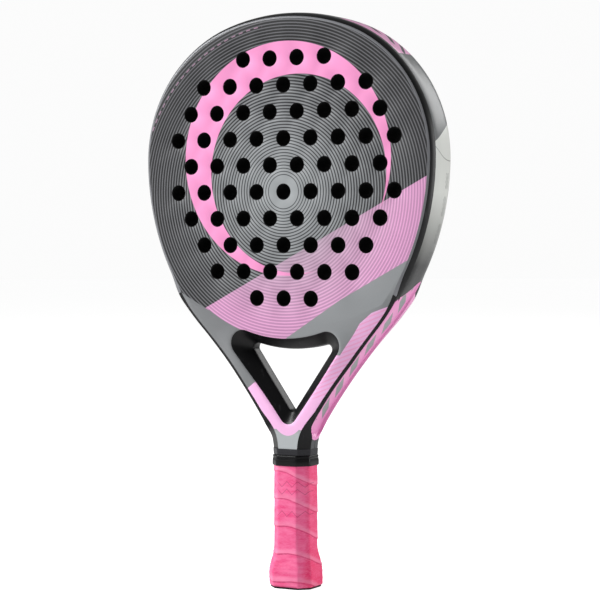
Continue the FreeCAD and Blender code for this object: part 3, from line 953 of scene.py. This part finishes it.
def print_material():
    made, shader = material("lacquered_print", 0.42, coat=0.12, coat_roughness=0.22, specular=0.35)
    x, y, z = place()
    x = x * (y.below(0.0, 0.02) * 2 - 1)
    colour, r = ring_print(x, z)
    on_right = x.above(0.0, 0.02)
    corner = above_line(x, z, *GREY_CORNER[:2]).either(above_line(x, z, *GREY_CORNER[1:]))
    left_edge = ((x + 69.0) * -0.54).either((x + 69.0) * 2.0)
    left = r.below(116.0, SOFT).either((z - 220.0 - left_edge).above(0.0, SOFT))
    striped = (corner.above(0.0, SOFT) * on_right) + (left * (1 - on_right))
    plain = blend(x.below(-28.0, 16.0), GREY, LEFT_GREY)
    colour = blend(striped, plain, colour)

    # pink on the arms: most of the right one, the lower part of the left one, and the V
    top = above_line(x, z, *ARM_PINK_TOP[:2]).below(0.0, SOFT)
    top = top.both(above_line(x, z, *ARM_PINK_TOP[1:]).below(0.0, SOFT))
    strip = (x - 50.0 - (z - 188.0) * 0.70).above(0.0, SOFT).either(z.below(186.5, SOFT))
    right_arm = top.both(strip).both(on_right)
    left_arm = above_line(x, z, *LEFT_PINK_TOP).below(0.0, SOFT).both(1 - on_right)
    vee = (z - 121.5 - (x * x / 20.0).both(5.0)).above(0.0, 0.4)
    pinstripe = (z - x * 0.4).stripes(3.2, 0.14, 0.2)
    pinstripe = pinstripe.both(z.above(152.0, 3.0)).both(on_right)
    arm_pink = blend(pinstripe * 0.8, ARM_PINK, ARM_PINK_LINE)
    # below z 126 the grey print is painted lighter: painted light from the front and below
    colour = blend(z.below(126.0, 6.0), colour, NECK_GREY_WITH_PAINTED_LIGHT)
    colour = blend(right_arm.either(left_arm).both(vee), colour, arm_pink)

    cloud = noise(38.0, 2.0)
    fleck = noise(0.45, 2.0)
    shade = blend(cloud * 0.10, colour, linear(120, 122, 126))
    colour = blend(fleck.above(0.70, 0.06) * 0.16, shade, linear(215, 217, 220))
    return dressed(made, shader, colour, cloud * 0.10 + fleck * 0.10 + 0.34, noise(1.2, 4.0), 0.06, 0.05)


def side_material():
    """Head's side: silver fading to black below, dark above, with a barred pink band."""
    made, shader = material("lacquered_side", 0.34, coat=0.2, coat_roughness=0.2, specular=0.35)
    _, y, z = place()
    low = Field.maths("DIVIDE", 312.0 - z, 56.0, clamp=True)
    colour = blend(low, linear(214, 216, 211), linear(14, 15, 16))
    hatch = (z + y * 1.6).stripes(3.4, 0.16, 0.1)
    rows = y.near(7.0, 2.6).both((z / 21.0).fraction().below(0.72, 0.02))
    rows = rows.both(z.below(327.0, SOFT)).both(z.above(262.0, SOFT))
    colour = blend(hatch.both(rows) * 0.75, colour, linear(44, 46, 46))
    curve = z - 336.5 - (y - 10.0) * (y - 10.0) * 0.019
    colour = blend(curve.near(0.0, 0.35, 0.35) * 0.7, colour, linear(52, 54, 54))
    dark_top = (z - 351.0 - (y + 13.0) * 0.55).above(0.0, 0.4)
    colour = blend(dark_top, colour, linear(80, 83, 84))
    slant = (z - y * 0.7).stripes(8.5, 0.2, 0.05).both(y.near(3.0, 5.5))
    top_pink = blend(slant, linear(250, 178, 222), linear(60, 58, 64))
    band = z.above(419.0, 0.5).both(z.below(448.0, 0.5)).both((y + 11.0).above(0.0, 0.4))
    colour = blend(band, colour, top_pink)

    # channel: pink, with slanted grey bars towards the back
    bars = (z + y * 0.9).stripes(17.0, 0.27, 0.02)
    bars = bars.both(y.near(1.5, 5.2, 0.2)).both(z.above(134.0, SOFT))
    channel = blend(bars, linear(240, 150, 206), linear(140, 142, 144))
    colour = blend((z - y * 0.55 - 237.5).below(0.0, 0.2), colour, channel)
    end = (z - CHANNEL_END_Z).both(0.0)
    in_channel = Field.maths("SQRT", end * end + y * y).below(11.8, SOFT)
    neck_tone = blend(z.below(118.0, 3.0), linear(26, 26, 29), linear(48, 52, 56))
    colour = blend(z.below(131.0, 0.2).both(1 - in_channel), colour, neck_tone)
    fleck = noise(0.45, 2.0)
    cloud = noise(30.0, 2.0)
    colour = blend(cloud * 0.12, colour, linear(60, 61, 64))
    colour = blend(fleck.above(0.68, 0.06) * 0.18, colour, linear(220, 222, 224))
    return dressed(made, shader, colour, cloud * 0.12 + fleck * 0.08 + 0.22, noise(1.4, 4.0), 0.05, 0.05)


def edge_line_material():
    """Thin grey line of bare lacquer round the face's edge."""
    made, shader = material("edge_line", 0.4, coat=0.1, specular=0.35)
    grain = noise(0.8, 3.0)
    colour = blend(grain * 0.5, linear(118, 119, 123), linear(140, 141, 146))
    return dressed(made, shader, colour, grain * 0.15 + 0.34, grain, 0.08, 0.05)


def satin_black(name, base, roughness, grain):
    """Dark moulded surface with fine grain and faint rubbing marks."""
    made, shader = material(name, roughness, specular=0.3)
    scuffs = noise(5.0, 5.0, (1.0, 1.0, 0.12)).above(0.66, 0.10)
    tone = blend(noise(12.0, 2.0) * 0.5, linear(*base), linear(*[c * 1.4 + 4 for c in base]))
    colour = blend(scuffs * 0.10, tone, linear(120, 121, 125))
    grains = noise(grain, 3.0)
    return dressed(made, shader, colour, grains * 0.18 + (roughness - 0.09), grains, 0.12, 0.05)


def foam_material(name, base, cell):
    """Closed-cell foam: small round cells, dull all over."""
    made, shader = material(name, 0.9, specular=0.2)
    cells = Field.tree.nodes.new("ShaderNodeTexVoronoi")
    cells.inputs["Scale"].default_value = 1.0 / (cell * MM)
    coordinates = Field.tree.nodes.new("ShaderNodeTexCoord")
    Field.tree.links.new(coordinates.outputs["Object"], cells.inputs["Vector"])
    depth = Field(cells.outputs["Distance"])
    colour = blend(depth, linear(*base), linear(*[c * 0.6 for c in base]))
    return dressed(made, shader, colour, depth * 0.1 + 0.85, depth, 0.4, 0.15)


ZIGZAG_PITCH = 9.0


def wrap_material():
    """Tacky pink overgrip: satin, with painted shade under each lap's edge, a painted highlight just
    above it, painted shade on the right side, and streaks.
    """
    made, shader = material("pink_overgrip", 0.5, specular=0.18)
    x, y, z = place()
    streak = noise(14.0, 4.0, (1.0, 1.0, 3.2))
    fine = noise(2.2, 4.0, (1.0, 1.0, 4.0))
    tone = blend(streak.above(0.5, 0.35), linear(238, 74, 132), linear(250, 122, 168))
    # painted shade: the grip's right side, beyond x 15 mm, is painted a deeper pink against the light
    # from the right
    tone = blend(x.above(15.0, 4.0) * 0.7, tone, linear(236, 44, 100))
    turn = Field.maths("ARCTAN2", y, x) / (2 * math.pi)
    sway = Field.maths("SINE", turn * (4 * math.pi) + z * 0.02) * 0.12
    lap = (z / WRAP_PITCH + turn + sway).fraction()
    # painted shade in a dark band under each lap's edge, then a painted highlight in a pale band just
    # above it
    tone = blend(lap.below(0.035, 0.03) * 0.5, tone, linear(176, 30, 84))
    tone = blend(lap.above(0.05, 0.03).both(lap.below(0.2, 0.12)) * 0.4, tone, linear(255, 168, 200))
    tone = blend(fine.above(0.56, 0.2) * 0.35, tone, linear(255, 138, 182))
    soiling = noise(26.0, 5.0).above(0.60, 0.14)
    tone = blend(soiling * 0.10, tone, linear(176, 50, 98))

    # three thin zigzag lines across the front
    zigzag = Field.maths("ABSOLUTE", (x / ZIGZAG_PITCH).fraction() - 0.5) * ZIGZAG_PITCH
    lines = (z - zigzag).near(81.0, 0.28, 0.22)
    lines = lines.either((z - zigzag).near(75.0, 0.28, 0.22))
    lines = lines.either((z + zigzag).near(62.0, 0.28, 0.22))
    lines = lines.both(y.below(0.0, 0.2))
    colour = blend(lines * 0.5, tone, linear(150, 26, 74))
    sheen = streak * 0.22 + fine * 0.10 + 0.30
    return dressed(made, shader, colour, sheen, noise(0.7, 3.0) * 0.5 + fine, 0.22, 0.12)


def band_material(name, base, rough):
    """Plain stretched tape or rubber with faint horizontal tension lines."""
    made, shader = material(name, rough, specular=0.25)
    lines = noise(1.6, 3.0, (0.25, 0.25, 2.5))
    tone = blend(lines * 0.35, linear(*base), linear(*[c + 14 for c in base]))
    return dressed(made, shader, tone, lines * 0.2 + (rough - 0.1), lines, 0.12, 0.08)


# ---- the object's pieces ----
print_paint = print_material()
side_paint = side_material()
black_paint = satin_black("satin_black_lacquer", (6, 6, 8), 0.34, 0.6)
edge_paint = edge_line_material()
hole_black = foam_material("drilled_laminate_edge", (16, 16, 17), 0.5)
core_black = foam_material("black_foam", (13, 13, 14), 0.8)

shell = frame_shell([print_paint, side_paint, black_paint, edge_paint])
front = face_sheet("front_sheet", -1, [print_paint, hole_black])
back = face_sheet("back_sheet", 1, [print_paint, hole_black])
cushion = cushion_sleeve([satin_black("cushion_leather", (26, 26, 27), 0.65, 0.9)])
wrap = overgrip([wrap_material()])
collar = rubber_collar([band_material("collar_rubber", (8, 8, 10), 0.32)])
tape = finishing_tape([band_material("finishing_tape", (40, 40, 44), 0.4)])
cap = butt_cap([satin_black("cap_plastic", (20, 20, 21), 0.5, 0.8)])

PIECES = (
    (shell, "carbon_frame", ("head_hoop", "left_arm", "right_arm", "throat_bridge", "neck_yoke")),
    (front, "face_laminate", ("front_face",)),
    (back, "face_laminate", ("back_face",)),
    (cushion, "cushion", ("cushion_grip",)),
    (wrap, "wrap", ("overgrip",)),
    (collar, "collar_rubber", ("rubber_collar",)),
    (tape, "tape", ("finishing_tape",)),
    (cap, "cap_plastic", ("butt_cap",)),
)
for piece, slot, nodes in PIECES:
    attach(piece, "root")
    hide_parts(*nodes)

INNER_LOOKS = {
    "foam_core": core_black,
    "left_leg_tube": satin_black("raw_carbon_tube", (24, 24, 26), 0.4, 0.5),
    "left_leg_foam": foam_material("handle_foam", (214, 198, 160), 1.2),
}
INNER_LOOKS["right_leg_tube"] = INNER_LOOKS["left_leg_tube"]
INNER_LOOKS["right_leg_foam"] = INNER_LOOKS["left_leg_foam"]
for node, look in INNER_LOOKS.items():
    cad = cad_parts[node]
    for entry in cad.material_slots:
        entry.material = look

# ---- stage, light and camera ----
scene = bpy.context.scene
scene.view_settings.view_transform = "Standard"
SKY_LIGHT = 0.22
SKY_SEEN = 0.97
FLOOR_LIGHT = 0.25
FLOOR_SEEN = 0.84
FLOOR_RADIUS_M = 12.0
FLOOR_TONE = 0.6


def seen_brighter(tree, lit, seen, slot):
    """A strength that is seen in the picture, with a lower one that lights the object."""
    path = tree.nodes.new("ShaderNodeLightPath")
    level = tree.nodes.new("ShaderNodeMapRange")
    level.inputs["To Min"].default_value = lit
    level.inputs["To Max"].default_value = seen
    tree.links.new(path.outputs["Is Camera Ray"], level.inputs["Value"])
    tree.links.new(level.outputs["Result"], slot)


world = bpy.data.worlds.new("studio")
world.use_nodes = True
sky = world.node_tree.nodes["Background"]
seen_brighter(world.node_tree, SKY_LIGHT, SKY_SEEN, sky.inputs["Strength"])
sky.inputs["Color"].default_value = (1.0, 1.0, 1.0, 1.0)
scene.world = world

floor_mesh = bpy.data.meshes.new("floor")
bm = bmesh.new()
bmesh.ops.create_circle(bm, cap_ends=True, segments=96, radius=FLOOR_RADIUS_M)
bm.to_mesh(floor_mesh)
bm.free()
floor = bpy.data.objects.new("floor", floor_mesh)
scene.collection.objects.link(floor)
floor_paint, floor_shader = material("pale_floor", 0.8, specular=0.1)
floor_shader.inputs["Base Color"].default_value = (FLOOR_TONE, FLOOR_TONE, FLOOR_TONE, 1.0)
floor_shader.inputs["Emission Color"].default_value = (1.0, 1.0, 1.0, 1.0)
floor_glow = floor_shader.inputs["Emission Strength"]
seen_brighter(floor_paint.node_tree, FLOOR_LIGHT, FLOOR_SEEN, floor_glow)
floor_mesh.materials.append(floor_paint)


def softbox(name, place_mm, aim_mm, size, power):
    """A soft lamp; its size is in metres and its power in watts."""
    lamp = bpy.data.lights.new(name, "AREA")
    lamp.shape = "RECTANGLE"
    lamp.size, lamp.size_y = size
    lamp.energy = power
    holder = bpy.data.objects.new(name, lamp)
    holder.location = Vector(place_mm) * MM
    direction = Vector(aim_mm) - Vector(place_mm)
    holder.rotation_euler = direction.to_track_quat("-Z", "Y").to_euler()
    scene.collection.objects.link(holder)


softbox("key", (-1500, -1000, 1350), (0, 0, 240), (1.1, 1.3), 54.0)
softbox("right_strip", (1400, 480, 420), (60, 0, 300), (0.4, 0.9), 7.6)
softbox("back_fill", (1500, 3000, 2200), (0, 0, 280), (2.4, 2.4), 60.0)

camera_data = bpy.data.cameras.new("camera")
camera_data.lens = CAMERA_LENS
camera_data.sensor_width = SENSOR_WIDTH
camera = bpy.data.objects.new("camera", camera_data)
scene.collection.objects.link(camera)
camera.location = Vector(CAMERA_PLACE) * MM

pose = Matrix.Rotation(math.radians(CAMERA_AZIMUTH), 3, "Z")
pose = pose @ Matrix.Rotation(math.radians(90 - CAMERA_TILT_DOWN), 3, "X")
pose = pose @ Matrix.Rotation(math.radians(CAMERA_ROLL), 3, "Z")
camera.rotation_euler = pose.to_euler()
camera_data.clip_start, camera_data.clip_end = 0.05, 60.0
scene.camera = camera
